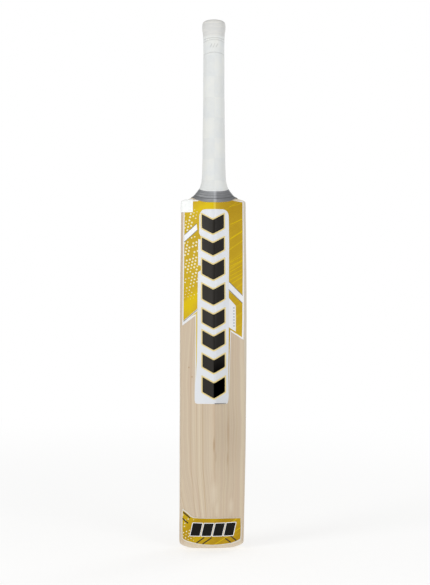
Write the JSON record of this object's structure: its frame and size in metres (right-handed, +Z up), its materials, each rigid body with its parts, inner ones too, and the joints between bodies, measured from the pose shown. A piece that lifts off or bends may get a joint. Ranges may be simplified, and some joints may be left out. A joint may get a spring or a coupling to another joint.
{
  "type": "cricket bat",
  "caption": "Full-size cricket bat: spined willow blade, laminated cane handle spliced in with a V, bound shoulder, ribbed rubber grip and vinyl stickers.",
  "frame": {"origin": "middle of the small flat at the bottom of the toe, on the axis of the handle", "axes": "+Z up the bat from the toe to the end of the handle; +Y out of the striking face, so the spine is on the -Y side; +X to the right when looking at the spine"},
  "size_m": [0.1071, 0.0751, 0.8481],
  "materials": {
    "willow": "oiled and sanded pale willow",
    "cane": "sanded cane",
    "spring_rubber": "matt black sheet",
    "cork": "fine cork sheet",
    "twine": "waxed twine",
    "binding_tape": "grey binding tape with a slight sheen",
    "grip_rubber": "off-white moulded rubber, matt",
    "vinyl": "printed gold-yellow vinyl",
    "label_paper": "blank white label"
  },
  "bodies": {
    "root": {"willow_blade": "willow", "cane_back_left": "cane", "cane_back_centre": "cane", "cane_back_right": "cane", "cane_mid_back_left": "cane", "cane_mid_back_centre": "cane", "cane_mid_back_right": "cane", "cane_mid_face_left": "cane", "cane_mid_face_centre": "cane", "cane_mid_face_right": "cane", "cane_face_left": "cane", "cane_face_centre": "cane", "cane_face_right": "cane", "rubber_spring_back": "spring_rubber", "cork_spring_middle": "cork", "rubber_spring_face": "spring_rubber", "handle_twine": "twine", "shoulder_twine": "twine", "shoulder_tape": "binding_tape", "rubber_grip": "grip_rubber", "back_sticker": "vinyl", "toe_sticker": "vinyl", "face_sticker": "vinyl", "shoulder_label": "label_paper"}
  },
  "joints": []
}
